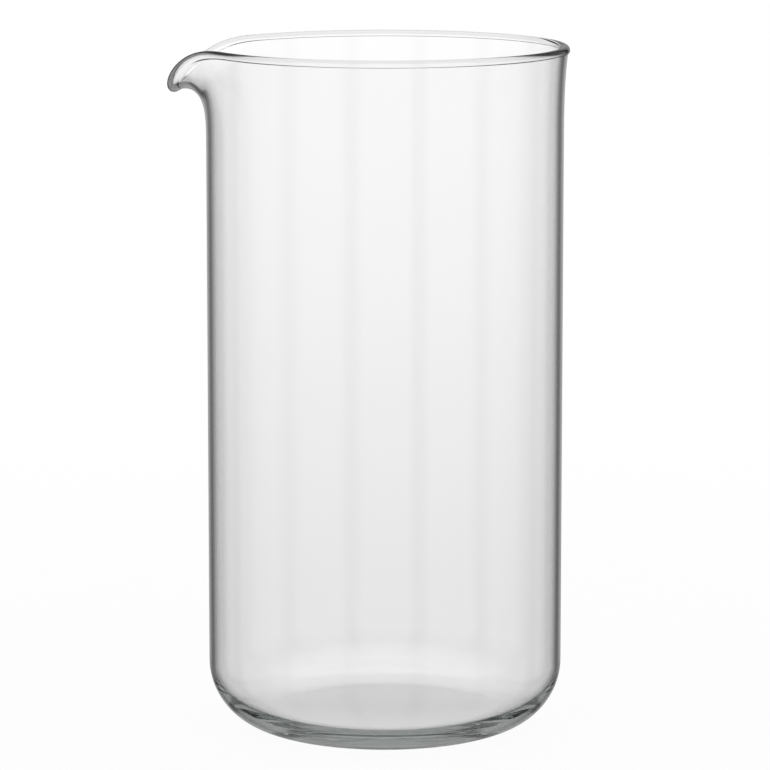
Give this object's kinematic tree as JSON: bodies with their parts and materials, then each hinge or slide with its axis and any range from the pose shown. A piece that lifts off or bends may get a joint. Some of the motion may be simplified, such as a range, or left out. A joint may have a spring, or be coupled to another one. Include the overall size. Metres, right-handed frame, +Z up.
{
  "type": "glass beaker for a plunger coffee maker",
  "caption": "Straight clear glass beaker with a rounded heel, a flat base, a fire-polished flared rim and a drawn-down pouring lip.",
  "frame": {"origin": "centre of the flat base, where the beaker stands", "axes": "+Z up along the beaker's axis, -X towards the pouring lip, +Y across it"},
  "size_m": [0.1072, 0.098, 0.1839],
  "materials": {
    "clear_glass": "clear borosilicate glass, fire-polished, with a very faint grey-green tint in the thick heel and rim"
  },
  "bodies": {
    "root": {"glass_beaker": "clear_glass"}
  },
  "joints": []
}
